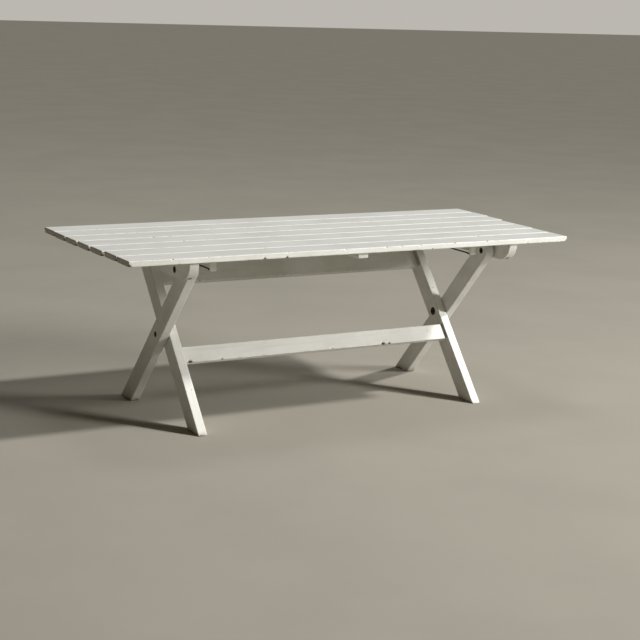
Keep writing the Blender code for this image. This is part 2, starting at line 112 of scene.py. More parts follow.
def blockMesh(half):
    bm = bmesh.new()
    bmesh.ops.create_cube(bm, size=2.0)
    bmesh.ops.scale(bm, vec=half, verts=bm.verts)
    return bm


def extrudeOutline(bm, face, thickness):
    raised = bmesh.ops.extrude_face_region(bm, geom=[face])
    moved = [item for item in raised["geom"] if isinstance(item, bmesh.types.BMVert)]
    bmesh.ops.translate(bm, verts=moved, vec=(0, 0, thickness))
    bmesh.ops.recalc_face_normals(bm, faces=bm.faces)


def bevelEdges(bm, edges, width, segments):
    bmesh.ops.bevel(bm, geom=edges, offset=width, offset_type="OFFSET", segments=segments,
                    profile=0.5, affect="EDGES", clamp_overlap=True, material=-1)


def sharpEdges(bm, angle=40):
    return [edge for edge in bm.edges if edge.calc_face_angle(0) > radians(angle)]


def splitAt(bm, axis, where):
    normal = Vector((0, 0, 0))
    normal[axis] = 1
    bmesh.ops.bisect_plane(bm, geom=bm.verts[:] + bm.edges[:] + bm.faces[:], dist=1e-6,
                           plane_co=normal * where, plane_no=normal)


def boardOutline(bm):
    # the outline seen through the board, before its edges are rounded
    lowest = min(vert.co.z for vert in bm.verts)
    back = next(face for face in bm.faces if all(vert.co.z < lowest + 1e-6 for vert in face.verts))
    return np.array([(vert.co.x, vert.co.y) for vert in back.verts])


def refineBoard(bm, half, spacing, curvedEnd=0.0):
    # loops beside the rounded edges, then stations along the grain
    for axis in (1, 2):
        splitAt(bm, axis, 0)
        for margin in (0.005, 0.010, 0.020):
            if margin < half[axis] - 0.002:
                splitAt(bm, axis, half[axis] - margin)
                splitAt(bm, axis, margin - half[axis])
    for step in range(8 if curvedEnd else 0):
        splitAt(bm, 0, half.x - curvedEnd * (8 - step) / 8)
        splitAt(bm, 0, curvedEnd * (8 - step) / 8 - half.x)
    longEdges = [edge for edge in bm.edges if abs(edge.verts[0].co.x - edge.verts[1].co.x) > half.x * 0.7]
    bmesh.ops.subdivide_edges(bm, edges=longEdges, cuts=int(2 * half.x / spacing), use_grid_fill=True)


def cornerPoints(outline):
    ahead = np.roll(outline, -1, 0) - outline
    behind = outline - np.roll(outline, 1, 0)
    turn = np.arctan2(ahead[:, 0] * behind[:, 1] - ahead[:, 1] * behind[:, 0], (ahead * behind).sum(1))
    return outline[np.abs(turn) > radians(25)]


def outlineDistances(points, outline):
    flat = points[:, :2]
    nearest = np.full(len(points), 9.0)
    for start, end in zip(outline, np.roll(outline, -1, 0)):
        run = end - start
        share = np.clip(((flat - start) @ run) / (run @ run), 0, 1)
        nearest = np.minimum(nearest, np.linalg.norm(flat - start - share[:, None] * run, axis=1))
    return nearest


def edgeDistances(points, outline, halfThrough):
    # how far each point lies from the board's nearest edge
    flat = points[:, :2]
    nearest = outlineDistances(points, outline)
    through = np.abs(halfThrough - np.abs(points[:, 2]))
    corner = np.full(len(points), 9.0)
    for place in cornerPoints(outline):
        corner = np.minimum(corner, np.linalg.norm(flat - place, axis=1))
    return np.minimum(np.maximum(nearest, through), corner)


def softStep(value, low, high):
    share = min(max((value - low) / (high - low), 0), 1)
    return share * share * (3 - 2 * share)


wearLook = {
    "reach": 0.007,  # chips stay this near the edges
    "patchScale": 6,
    "edgeFall": 42,
    # where the painted shade inside holes and recesses begins
    "deepHole": 0.0034,
    "recessMouth": 0.00025,
    # painted shade beside the rails, fading away from the rail's face
    "cornerShade": 0.75,
    "cornerFade": 9.0,  # per metre from the rail's face
}


def chipAmount(point, distance, wear):
    # 0 where the edge is whole, 1 at the bottom of a chip
    amount = 0.0
    for place, size in wear["dents"]:
        amount = max(amount, 1 - softStep((point - Vector(place)).length, size * 0.45, size))
    if distance > wearLook["reach"]:
        return amount
    spot = point + Vector(wear["offset"])
    patch = noise.noise(spot * wearLook["patchScale"]) * 0.5 + 0.5
    rough = noise.fractal(spot * wear["scale"], 0.6, 2.0, 3) * 0.5 + 0.5
    level = rough + wear["cover"] * patch - distance * wearLook["edgeFall"]
    return max(amount, softStep(level, 1.0, 1.16))


def applyCuts(mesh, cutter, operation="DIFFERENCE"):
    # one closed mesh cut by another, with the result kept as a plain mesh
    target = bpy.data.objects.new("cutTarget", mesh)
    tool = bpy.data.objects.new("cutTool", cutter)
    for item in (target, tool):
        bpy.context.scene.collection.objects.link(item)
    modifier = target.modifiers.new("holes", "BOOLEAN")
    modifier.operation = operation
    modifier.solver = "EXACT"
    modifier.object = tool
    graph = bpy.context.evaluated_depsgraph_get()
    result = bpy.data.meshes.new_from_object(target.evaluated_get(graph))
    for item in (target, tool):
        bpy.data.objects.remove(item, do_unlink=True)
    return result


def toMesh(bm, name):
    mesh = bpy.data.meshes.new(name)
    bm.to_mesh(mesh)
    bm.free()
    return mesh


def settle(name, mesh, material, body, nodes, sharp=32):
    # links a finished mesh, which already lies in the table's own place
    mesh.name = name
    mesh.materials.clear()
    mesh.materials.append(material)
    mesh.shade_smooth()
    mesh.set_sharp_from_angle(angle=radians(sharp))
    piece = bpy.data.objects.new(name, mesh)
    bpy.context.scene.collection.objects.link(piece)
    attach(piece, body)
    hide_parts(*nodes)
    return piece


def finishBoard(name, bm, place, half, outline, ends, wear, material, body, nodes, cutter=None):
    # chips first, then the holes, then what the paint needs to know about each point
    bm.normal_update()
    points = np.array([vert.co[:] for vert in bm.verts])
    distances = edgeDistances(points, outline, half.z)
    moves = []
    for vert, distance in zip(bm.verts, distances):
        amount = chipAmount(vert.co, distance, wear)
        if amount > 0:
            moves.append((vert, vert.co - vert.normal * amount * wear["depth"]))
    for vert, target in moves:
        vert.co = target
    mesh = toMesh(bm, name)
    if cutter is not None:
        mesh = applyCuts(mesh, toMesh(cutter, "holes"))
    points = np.zeros(len(mesh.vertices) * 3)
    mesh.vertices.foreach_get("co", points)
    points = points.reshape(-1, 3)
    distances = edgeDistances(points, outline, half.z)
    chips = [chipAmount(Vector(point), distance, wear) for point, distance in zip(points, distances)]
    endDistances = np.full(len(points), 1.0)
    for spot, normal in ends:
        endDistances = np.minimum(endDistances, np.abs((points - np.array(spot)) @ np.array(normal)))
    grain = points + np.array(wear["offset"])
    # the slats' top faces are marked for their painted shade
    if wear.get("paintTopShade"):
        addAttribute(mesh, "topSide", "FLOAT", (points[:, 2] > half.z - 0.0009).astype(float))
    addAttribute(mesh, "edgeDistance", "FLOAT", distances)
    addAttribute(mesh, "chip", "FLOAT", np.array(chips))
    addAttribute(mesh, "endDistance", "FLOAT", endDistances)
    addAttribute(mesh, "hollowShade", "FLOAT", hollowShadeShare(points, outline, half.z, wear))
    addAttribute(mesh, "grain", "FLOAT_VECTOR", grain)
    mesh.transform(place)
    return settle(name, mesh, material, body, nodes)


def hollowShadeShare(points, outline, halfThrough, wear):
    # 1 inside a bolt's recess or a deep hole, where the colour is painted shade: near black
    depth = np.minimum(outlineDistances(points, outline), np.abs(halfThrough - np.abs(points[:, 2])))
    inside = (depth > wearLook["deepHole"]).astype(float)
    for axis, x, other, radius in wear.get("recesses", ()):
        # axis 2 runs through the board, axis 1 across it
        near = np.hypot(points[:, 0] - x, points[:, 3 - axis] - other) < radius + 0.0002
        inside[near & (depth > wearLook["recessMouth"])] = 1
    for start, end, face, reach in wear.get("corners", ()):
        # painted shade in the corner between a leg's inner face and a rail
        beside = (points[:, 0] > start) & (points[:, 0] < end) & (points[:, 1] > face - 0.001)
        beside &= np.abs(points[:, 2] - reach) < 0.0012
        away = np.clip(points[beside, 1] - face, 0, 0.05)
        inside[beside] = np.maximum(inside[beside], wearLook["cornerShade"] - wearLook["cornerFade"] * away)
    return inside


def addAttribute(mesh, name, kind, values):
    layer = mesh.attributes.new(name, kind, "POINT")
    layer.data.foreach_set("vector" if kind == "FLOAT_VECTOR" else "value", values.astype(np.float32).ravel())


def boardEnds(half):
    return ((-half.x, 0, 0), (1, 0, 0)), ((half.x, 0, 0), (1, 0, 0))


def localPlane(place, point, normal):
    # a plane of the table, such as the floor, in a board's own axes
    turned = place.to_3x3().transposed()
    return (turned @ (Vector(point) - place.translation))[:], (turned @ Vector(normal))[:]


# Finishes

def addNode(tree, kind, settings=None, inputs=None):
    item = tree.nodes.new(kind)
    for key, value in (settings or {}).items():
        setattr(item, key, value)
    for key, value in (inputs or {}).items():
        if isinstance(value, bpy.types.NodeSocket):
            tree.links.new(value, item.inputs[key])
        else:
            item.inputs[key].default_value = value
    return item


def maths(tree, operation, first, second=0.5, clamp=False):
    settings = {"operation": operation, "use_clamp": clamp}
    return addNode(tree, "ShaderNodeMath", settings, {0: first, 1: second}).outputs[0]


def fade(tree, value, low, high, start=0.0, end=1.0):
    item = addNode(tree, "ShaderNodeMapRange", {"interpolation_type": "SMOOTHSTEP"},
                   {0: value, 1: low, 2: high, 3: start, 4: end})
    return item.outputs[0]


def cloud(tree, vector, scale, detail=3.0, roughness=0.5, distortion=0.0):
    item = addNode(tree, "ShaderNodeTexNoise", None, {"Vector": vector, "Scale": scale, "Detail": detail,
                                                      "Roughness": roughness, "Distortion": distortion})
    return item.outputs[0]


def stretch(tree, vector, scale, turn=(0, 0, 0)):
    inputs = {"Vector": vector, "Rotation": turn, "Scale": scale}
    return addNode(tree, "ShaderNodeMapping", None, inputs).outputs[0]


def blend(tree, share, first, second):
    inputs = {0: share, 6: (*first, 1) if isinstance(first, tuple) else first,
              7: (*second, 1) if isinstance(second, tuple) else second}
    return addNode(tree, "ShaderNodeMix", {"data_type": "RGBA"}, inputs).outputs[2]


def attribute(tree, name, output="Fac"):
    return addNode(tree, "ShaderNodeAttribute", {"attribute_name": name}).outputs[output]


def startMaterial(name):
    material = bpy.data.materials.new(name)
    material.use_nodes = True
    tree = material.node_tree
    return material, tree, tree.nodes["Principled BSDF"]


def addBump(tree, shader, height, strength, distance):
    inputs = {"Height": height, "Strength": strength, "Distance": distance}
    bump = addNode(tree, "ShaderNodeBump", None, inputs)
    tree.links.new(bump.outputs[0], shader.inputs["Normal"])


paintLook = {
    "coat": (0.81, 0.81, 0.775),
    # painted shade for the slats' top faces, a little darker and cooler than the coat
    "topShade": (0.77, 0.785, 0.765),
    "thinCoat": (0.70, 0.695, 0.645),
    "streak": (0.60, 0.595, 0.545),
    "yellowed": (0.62, 0.57, 0.45),
    "grime": (0.21, 0.175, 0.125),
    "undercoat": (0.50, 0.46, 0.37),
    "wood": (0.105, 0.068, 0.042),
    "darkWoodAndShade": (0.038, 0.026, 0.018),
}


def makePaint(name, wornEdges, stains, footGrime=0.0, sawnEnds=0.0, topShade=0.0):
    look = paintLook
    material, tree, shader = startMaterial(name)
    grain = attribute(tree, "grain", "Vector")
    edge = attribute(tree, "edgeDistance")
    chip = attribute(tree, "chip")
    end = attribute(tree, "endDistance")
    hollowShade = attribute(tree, "hollowShade")

    # the coat: broad patches, painted shade on the slats' top faces, brush streaks along the grain and
    # yellowed stains
    patches = cloud(tree, grain, 4.5, 5, 0.6)
    streaks = cloud(tree, stretch(tree, grain, (2.2, 62, 62)), 1, 3, 0.55, 0.3)
    hairs = cloud(tree, stretch(tree, grain, (8, 520, 520)), 1, 2, 0.6)
    colour = blend(tree, fade(tree, patches, 0.36, 0.68), look["coat"], look["thinCoat"])
    # painted shade: the slats' top faces are a little darker and cooler than their lit front faces
    if topShade:
        topShare = maths(tree, "MULTIPLY", attribute(tree, "topSide"), topShade)
        colour = blend(tree, topShare, colour, look["topShade"])
    streakShare = maths(tree, "MULTIPLY", fade(tree, streaks, 0.50, 0.78), 0.38)
    colour = blend(tree, streakShare, colour, look["streak"])
    hairShare = maths(tree, "MULTIPLY", fade(tree, hairs, 0.52, 0.74), 0.16)
    colour = blend(tree, hairShare, colour, look["streak"])
    stainShare = maths(tree, "MULTIPLY", fade(tree, cloud(tree, grain, 12, 4, 0.6, 0.4), 0.60, 0.82), stains)
    colour = blend(tree, stainShare, colour, look["yellowed"])

    # small knocks and scratches in the faces
    cells = addNode(tree, "ShaderNodeTexVoronoi", None, {"Vector": grain, "Scale": 34.0, "Randomness": 1.0})
    chosen = addNode(tree, "ShaderNodeSeparateColor", None, {0: cells.outputs["Color"]})
    knocks = maths(tree, "MULTIPLY", fade(tree, cells.outputs["Distance"], 0.13, 0.05),
                   fade(tree, chosen.outputs[0], 0.955, 0.975))
    slanted = stretch(tree, grain, (16, 240, 90), (0, 0, 0.5))
    scratches = fade(tree, cloud(tree, slanted, 1, 2, 0.4), 0.765, 0.80)
    marks = maths(tree, "MAXIMUM", knocks, maths(tree, "MULTIPLY", scratches, 0.6))
    colour = blend(tree, maths(tree, "MULTIPLY", marks, 0.72), colour, look["grime"])

    # a thin grey line of dirt beside the edges
    nearEdge = fade(tree, edge, 0.007, 0.001)
    dirt = maths(tree, "MULTIPLY", nearEdge, fade(tree, cloud(tree, grain, 30, 4, 0.65), 0.46, 0.72))
    colour = blend(tree, maths(tree, "MULTIPLY", dirt, 0.34), colour, look["grime"])

    # paint gone at the edges: undercoat shows first, bare wood in the middle
    rough = cloud(tree, grain, 105, 4, 0.68)
    region = cloud(tree, grain, 6.5, 2, 0.5)
    level = maths(tree, "ADD", rough, maths(tree, "MULTIPLY", region, 0.55))
    level = maths(tree, "SUBTRACT", level, maths(tree, "MULTIPLY", edge, 55.0))
    ringLevel = fade(tree, level, 0.985 - wornEdges, 1.015 - wornEdges)
    bareLevel = fade(tree, level, 1.02 - wornEdges, 1.05 - wornEdges)
    ring = maths(tree, "MAXIMUM", ringLevel, fade(tree, chip, 0.10, 0.28))
    bare = maths(tree, "MAXIMUM", bareLevel, fade(tree, chip, 0.42, 0.70))
    woodGrain = cloud(tree, stretch(tree, grain, (14, 260, 260)), 1, 3, 0.6)
    woodTone = blend(tree, fade(tree, woodGrain, 0.38, 0.62), look["wood"], look["darkWoodAndShade"])
    colour = blend(tree, ring, colour, look["undercoat"])
    colour = blend(tree, bare, colour, woodTone)

    # sawn ends: growth rings under a thin, dirty coat, and dark feet on the floor
    if sawnEnds:
        split = addNode(tree, "ShaderNodeSeparateXYZ", None, {0: grain})
        across = maths(tree, "POWER", split.outputs[1], 2.0)
        below = maths(tree, "POWER", maths(tree, "ADD", split.outputs[2], 0.05), 2.0)
        radius = maths(tree, "POWER", maths(tree, "ADD", across, below), 0.5)
        rings = maths(tree, "SINE", maths(tree, "MULTIPLY", radius, 1900.0))
        worn = fade(tree, cloud(tree, grain, 48, 4, 0.7), 0.40, 0.66)
        sawn = blend(tree, maths(tree, "MULTIPLY", worn, 0.62), look["undercoat"], look["wood"])
        sawn = blend(tree, fade(tree, rings, 0.2, 1.0, 0.0, 0.30), sawn, look["darkWoodAndShade"])
        colour = blend(tree, maths(tree, "MULTIPLY", fade(tree, end, 0.0016, 0.0004), sawnEnds), colour, sawn)
    if footGrime:
        dirty = maths(tree, "ADD", maths(tree, "MULTIPLY", cloud(tree, grain, 26, 4, 0.7), 0.03), end)
        colour = blend(tree, fade(tree, dirty, 0.040, 0.012, 0.0, footGrime), colour, look["grime"])
        colour = blend(tree, fade(tree, dirty, 0.021, 0.013), colour, woodTone)

    # painted shade: recesses, deep holes and the corners beside the rails turn near black
    colour = blend(tree, maths(tree, "MULTIPLY", hollowShade, 0.93), colour, look["darkWoodAndShade"])
    tree.links.new(colour, shader.inputs["Base Color"])
    gloss = maths(tree, "ADD", fade(tree, patches, 0.3, 0.7, 0.34, 0.50), maths(tree, "MULTIPLY", bare, 0.34))
    gloss = maths(tree, "ADD", gloss, maths(tree, "MULTIPLY", marks, 0.2))
    tree.links.new(gloss, shader.inputs["Roughness"])
    relief = maths(tree, "ADD", maths(tree, "MULTIPLY", streaks, 0.30), maths(tree, "MULTIPLY", hairs, 0.16))
    relief = maths(tree, "SUBTRACT", relief, maths(tree, "MULTIPLY", ring, 0.45))
    relief = maths(tree, "SUBTRACT", relief, maths(tree, "MULTIPLY", marks, 0.40))
    addBump(tree, shader, relief, 0.55, 0.0006)
    return material


ironLook = {"dark": (0.030, 0.024, 0.020), "rust": (0.15, 0.062, 0.028), "scale": 150.0}


def makeIron(name, rustiness):
    material, tree, shader = startMaterial(name)
    place = addNode(tree, "ShaderNodeTexCoord").outputs["Object"]
    pits = cloud(tree, place, ironLook["scale"], 5, 0.7)
    blotches = cloud(tree, place, ironLook["scale"] * 3, 3, 0.6)
    rusty = fade(tree, pits, 0.62 - rustiness * 0.2, 0.78 - rustiness * 0.2)
    dark = blend(tree, fade(tree, blotches, 0.4, 0.7), ironLook["dark"], (0.062, 0.052, 0.045))
    tree.links.new(blend(tree, rusty, dark, ironLook["rust"]), shader.inputs["Base Color"])
    tree.links.new(fade(tree, rusty, 0.0, 1.0, 0.85, 0.10), shader.inputs["Metallic"])
    tree.links.new(fade(tree, pits, 0.3, 0.7, 0.45, 0.80), shader.inputs["Roughness"])
    addBump(tree, shader, maths(tree, "ADD", pits, maths(tree, "MULTIPLY", blotches, 0.5)), 0.5, 0.0004)
    return material


def makeSteel(name):
    material, tree, shader = startMaterial(name)
    place = addNode(tree, "ShaderNodeTexCoord").outputs["Object"]
    spots = cloud(tree, place, 420.0, 4, 0.65)
    tree.links.new(blend(tree, fade(tree, spots, 0.5, 0.68), (0.30, 0.29, 0.27), (0.16, 0.08, 0.04)),
                   shader.inputs["Base Color"])
    tree.links.new(fade(tree, spots, 0.48, 0.66, 0.9, 0.15), shader.inputs["Metallic"])
    tree.links.new(fade(tree, spots, 0.35, 0.65, 0.34, 0.72), shader.inputs["Roughness"])
    addBump(tree, shader, spots, 0.4, 0.0002)
    return material


def makeBareWood(name):
    material, tree, shader = startMaterial(name)
    place = addNode(tree, "ShaderNodeTexCoord").outputs["Object"]
    fibres = cloud(tree, stretch(tree, place, (420, 90, 14)), 1, 4, 0.6, 0.4)
    blotches = cloud(tree, place, 55.0, 3, 0.6)
    colour = blend(tree, fade(tree, fibres, 0.38, 0.62), (0.34, 0.215, 0.12), (0.19, 0.105, 0.055))
    colour = blend(tree, fade(tree, blotches, 0.52, 0.74, 0.0, 0.6), colour, (0.09, 0.06, 0.04))
    tree.links.new(colour, shader.inputs["Base Color"])
    tree.links.new(fade(tree, fibres, 0.3, 0.7, 0.62, 0.85), shader.inputs["Roughness"])
    addBump(tree, shader, fibres, 0.5, 0.0005)
    return material


slatPaint = makePaint("slatPaint", 0.0, 0.30, sawnEnds=0.68, topShade=0.85)
trestlePaint = makePaint("trestlePaint", -0.02, 0.34, footGrime=0.55)
railPaint = makePaint("railPaint", 0.0, 0.42)
ironFinish = makeIron("darkIron", 0.35)
rustyIron = makeIron("rustyIron", 0.85)
steelFinish = makeSteel("dullSteel")
bareWood = makeBareWood("bareWood")
print("finishes ready")


# The slats

slatLook = {
    "edgeRound": 0.0028,
    "spacing": 0.0055,
    "frontSpacing": 0.0032,
    "chipDepth": 0.0022,
    "frontDents": ((-0.825, 0.0055, 1), (-0.445, 0.0080, -1), (-0.350, 0.0075, -1), (-0.345, 0.0035, 1),
                   (-0.090, 0.0050, 1), (0.095, 0.0055, 1), (0.165, 0.0050, 1), (0.255, 0.0050, 1),
                   (0.580, 0.0060, 1), (-0.630, 0.0035, 1), (0.790, 0.0045, -1)),
    "knots": {5: ((-0.690, -0.0560, 0.0060),), 2: ((0.622, -0.0560, 0.0040),)},
}


def makeSlat(index):
    node = f"slat_{index}"
    place, half = boardPlace(node, (1, 0, 0), (0, 0, 1))
    bm = blockMesh(half)
    outline = boardOutline(bm)
    bevelEdges(bm, sharpEdges(bm), slatLook["edgeRound"], 4)
    refineBoard(bm, half, slatLook["frontSpacing"] if index == 1 else slatLook["spacing"])
    dents = [((-half.x, -half.y, -half.z), 0.014), ((-half.x, half.y, -half.z), 0.010)]
    if index == 1:
        middle = place.translation.x
        for x, size, level in slatLook["frontDents"]:
            dents.append(((x - middle, -half.y, half.z * level), size))
        dents.append(((half.x, -half.y, -half.z), 0.010))
    for x, y, size in slatLook["knots"].get(index, ()):
        dents.append(((x - place.translation.x, y, half.z), size))
    wear = {"offset": (index * 3.1, index * 1.7, index * 0.9), "scale": 58, "cover": 0.37,
            "depth": slatLook["chipDepth"], "dents": dents, "paintTopShade": True}
    finishBoard(f"slat{index}", bm, place, half, outline, boardEnds(half), wear, slatPaint,
                "table_top", [node])


for index in slatNumbers:
    makeSlat(index)
print("slats made")


# The battens under the slats

battenLook = {
    "edgeRound": 0.0024,
    "spacing": 0.006,
    "counterbore": 0.0078,
    "boltRecess": 0.013,
    "recessDepth": 0.009,
    "boltHole": 0.0053,
    "screwHole": 0.0024,
    "wallStep": 0.0009,  # rings down a counterbore's wall
}


def recess(start, step, end, inner, outer, lead=0.0007):
    # a stepped hole whose mouth is slightly broken
    return [(0, start), (inner, start), (inner, step), (outer, step), (outer, end - 0.0004), (outer, end),
            (outer + lead, end + lead), (outer + lead, end + overcut), (0, end + overcut)]


def counterbores(cutter, place, screwNodes, headDepth):
    turned = place.inverted()
    for node in screwNodes:
        low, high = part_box(node)
        middle = (low + high) / 2
        bottom = Vector((middle.x, middle.y, low.z - headDepth - 0.002))
        radius, seat = battenLook["counterbore"], headDepth + 0.0018
        rings = int(seat / battenLook["wallStep"])
        wall = [(radius, seat * ring / rings) for ring in range(rings + 1)]
        hole, far = battenLook["screwHole"], headDepth + 0.08
        profile = [(0, 0)] + wall + [(hole, seat), (hole, far), (0, far)]
        spinProfile(cutter, profile, turned @ Matrix.Translation(bottom), 24)


def screwHollows(place, screwNodes):
    spots = [place.inverted() @ boxMiddle(node) for node in screwNodes]
    return [(1, spot.x, spot.z, battenLook["counterbore"]) for spot in spots]


def makeOuterBatten(name, label, side):
    node = f"batten_{name}"
    place, half = boardPlace(node, (0, 1, 0), (1, 0, 0))
    bm = blockMesh(half)
    lowerEnds = [edge for edge in bm.edges if all(vert.co.y < 0 for vert in edge.verts)
                 and abs(edge.verts[0].co.z - edge.verts[1].co.z) > half.z]
    bevelEdges(bm, lowerEnds, half.y * 2 - 0.001, 16)
    outline = boardOutline(bm)
    bevelEdges(bm, sharpEdges(bm), battenLook["edgeRound"], 3)
    refineBoard(bm, half, battenLook["spacing"], curvedEnd=half.y * 2)
    cutter = bmesh.new()
    hinge = onBoard(place, foldPoint)
    boltPlace = Matrix.Translation(hinge)
    profile = recess(-half.z - overcut, half.z - battenLook["recessDepth"], half.z - 0.0007,
                     battenLook["boltHole"], battenLook["boltRecess"])
    spinProfile(cutter, profile, boltPlace @ outwardAxis(side))
    screws = [f"slat_screw_{name}_{index}" for index in slatNumbers]
    counterbores(cutter, place, screws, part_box(screws[0])[0].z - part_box(node)[0].z)
    wear = {"offset": (5.3 * side, 8.1, 2.2), "scale": 52, "cover": 0.34, "depth": 0.0018, "dents": (),
            "recesses": [(2, hinge.x, hinge.y, battenLook["boltRecess"])] + screwHollows(place, screws)}
    finishBoard(f"batten{label}", bm, place, half, outline, boardEnds(half), wear, railPaint,
                "table_top", [node], cutter)


def makeCentreBatten():
    node = "batten_centre"
    place, half = boardPlace(node, (0, 1, 0), (1, 0, 0))
    bm = blockMesh(half)
    outline = boardOutline(bm)
    bevelEdges(bm, sharpEdges(bm), battenLook["edgeRound"], 3)
    refineBoard(bm, half, battenLook["spacing"])
    cutter = bmesh.new()
    screws = [f"slat_screw_centre_{index}" for index in slatNumbers]
    counterbores(cutter, place, screws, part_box(screws[0])[0].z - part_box(node)[0].z)
    wear = {"offset": (2.9, 4.4, 7.7), "scale": 52, "cover": 0.30, "depth": 0.0016, "dents": (),
            "recesses": screwHollows(place, screws)}
    finishBoard("battenCentre", bm, place, half, outline, boardEnds(half), wear, railPaint,
                "table_top", [node], cutter)


for name, label, side in sides:
    makeOuterBatten(name, label, side)
makeCentreBatten()
print("battens made")


# The legs

legLook = {
    "edgeRound": 0.0024,
    "spacing": 0.0055,
    "chipDepth": 0.0020,
    "headRecess": (0.0118, 0.009),
    "foldNutRecess": (0.012, 0.011),
    "crossNutRecess": (0.017, 0.011),
    "boltHole": 0.0053,
    "studHole": (0.0033, 0.0225),
    "topRound": 0.020,
}


def footX(place, y):
    # where a leg's face at this y meets the floor, along the leg
    row = place[2]
    return -(row[3] + y * row[1]) / row[0]


def levelX(place, y, level):
    row = place[2]
    return (level - row[3] - y * row[1]) / row[0]


def closeOutline(bm, corners, thickness):
    for pair in zip(corners, corners[1:]):
        bm.edges.new(pair)
    filled = bmesh.ops.contextual_create(bm, geom=bm.edges[:])
    extrudeOutline(bm, filled["faces"][0], thickness)


def hingeCutter(cutter, place, point, side, half, head, nut):
    # a bolt hole with a recess for the head on one face or for the nut on the other
    spot = onBoard(place, point)
    turned = Matrix.Translation((spot.x, spot.y, 0)) @ outwardAxis(side)
    if head:
        profile = recess(-half.z - overcut, half.z - head[1], half.z - 0.0007, legLook["boltHole"], head[0])
        spinProfile(cutter, profile, turned)
    if nut:
        profile = recess(-half.z - overcut, half.z - nut[1], half.z - 0.0007, legLook["boltHole"], nut[0])
        spinProfile(cutter, profile, turned @ Matrix.Rotation(pi, 4, "X"))


def makeOuterLeg(name, label, side):
    node = f"outer_leg_{name}"
    place, half = boardPlace(node, outerLegLine, (1, 0, 0))
    hinge = onBoard(place, foldPoint)
    bm = bmesh.new()
    start = bm.verts.new((hinge.x, -half.y, -half.z))
    turned = bmesh.ops.spin(bm, geom=[start], cent=(hinge.x, 0, -half.z), axis=(0, 0, 1), angle=pi, steps=28)
    last = [item for item in turned["geom_last"] if isinstance(item, bmesh.types.BMVert)][0]
    backFoot = bm.verts.new((footX(place, half.y), half.y, -half.z))
    frontFoot = bm.verts.new((footX(place, -half.y), -half.y, -half.z))
    closeOutline(bm, [last, backFoot, frontFoot, start], half.z * 2)
    outline = boardOutline(bm)
    bevelEdges(bm, sharpEdges(bm), legLook["edgeRound"], 3)
    refineBoard(bm, half, legLook["spacing"], curvedEnd=half.x - hinge.x)
    cutter = bmesh.new()
    hingeCutter(cutter, place, foldPoint, side, half, None, legLook["foldNutRecess"])
    hingeCutter(cutter, place, crossPoint, side, half, legLook["headRecess"], None)
    cross = onBoard(place, crossPoint)
    wear = {"offset": (side * 6.1, 3.3, 9.2), "scale": 50, "cover": 0.38,
            "depth": legLook["chipDepth"], "dents": (),
            "recesses": ((2, hinge.x, hinge.y, legLook["foldNutRecess"][0]),
                         (2, cross.x, cross.y, legLook["headRecess"][0]))}
    floorPlane = localPlane(place, (0, 0, 0), (0, 0, 1))
    finishBoard(f"outerLeg{label}", bm, place, half, outline, (floorPlane,), wear, trestlePaint,
                f"outer_leg_{name}", [node], cutter)


def makeInnerLeg(name, label, side, railSizes):
    node = f"inner_leg_{name}"
    place, half = boardPlace(node, innerLegLine, (1, 0, 0))
    half.y = abs(half.y)
    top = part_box(node)[1].z
    bm = bmesh.new()
    spots = ((footX(place, -half.y), -half.y), (footX(place, half.y), half.y),
             (levelX(place, half.y, top), half.y), (levelX(place, -half.y, top), -half.y))
    corners = [bm.verts.new((x, y, -half.z)) for x, y in spots]
    closeOutline(bm, corners + corners[:1], half.z * 2)
    frontTop = [edge for edge in bm.edges if all(vert.co.y > 0 and vert.co.x > 0 for vert in edge.verts)
                and abs(edge.verts[0].co.z - edge.verts[1].co.z) > half.z]
    bevelEdges(bm, frontTop, legLook["topRound"], 10)
    outline = boardOutline(bm)
    bevelEdges(bm, sharpEdges(bm, 30), legLook["edgeRound"], 3)
    refineBoard(bm, half, legLook["spacing"])
    cutter = bmesh.new()
    hingeCutter(cutter, place, crossPoint, side, half, None, legLook["crossNutRecess"])
    stud = onBoard(place, studPoint)
    studPlace = Matrix.Translation((stud.x, stud.y, 0)) @ outwardAxis(-side)
    hole, depth = legLook["studHole"]
    spinProfile(cutter, [(0, half.z - depth), (hole, half.z - depth), (hole, half.z + overcut),
                         (0, half.z + overcut)], studPlace, 24)
    inverse = place.inverted()
    corners = []
    for railPlace, tenon, reach in railSizes:
        spot = inverse @ railPlace.translation
        width = tenon.y + railLook["tenonShoulder"][0]
        thickness = tenon.z + railLook["tenonShoulder"][1]
        # painted shade on the leg's inner face beside each rail
        corners.append((spot.x - width, spot.x + width, spot.y + thickness, -side * half.z))
        # the mortise is open on the leg's inner face
        middle = railPlace @ Vector((side * (reach - tenon.x), 0, 0))
        mortise = inverse @ Matrix.Translation(middle) @ railPlace.to_3x3().to_4x4()
        size = Matrix.Diagonal((tenon.x * 2, tenon.y * 2 + 2 * touchGap, tenon.z * 2 + 2 * touchGap, 1))
        bmesh.ops.create_cube(cutter, size=1.0, matrix=mortise @ size)
    bmesh.ops.recalc_face_normals(cutter, faces=cutter.faces)
    cross = onBoard(place, crossPoint)
    wear = {"offset": (side * 4.3, 7.7, 1.2), "scale": 50, "cover": 0.38,
            "depth": legLook["chipDepth"], "dents": (), "corners": corners,
            "recesses": ((2, cross.x, cross.y, legLook["crossNutRecess"][0]),)}
    floorPlane = localPlane(place, (0, 0, 0), (0, 0, 1))
    finishBoard(f"innerLeg{label}", bm, place, half, outline, (floorPlane,), wear, trestlePaint,
                "inner_frame", [node], cutter)


# The rails between the inner legs

railLook = {
    "edgeRound": 0.0022,
    "spacing": 0.0055,
    "tenonShoulder": (0.010, 0.005),
    "chipDepth": 0.0024,
    "stretcherDents": ((-0.60, 0.013), (-0.46, 0.007), (0.05, 0.006), (0.30, 0.013), (0.33, 0.009)),
}


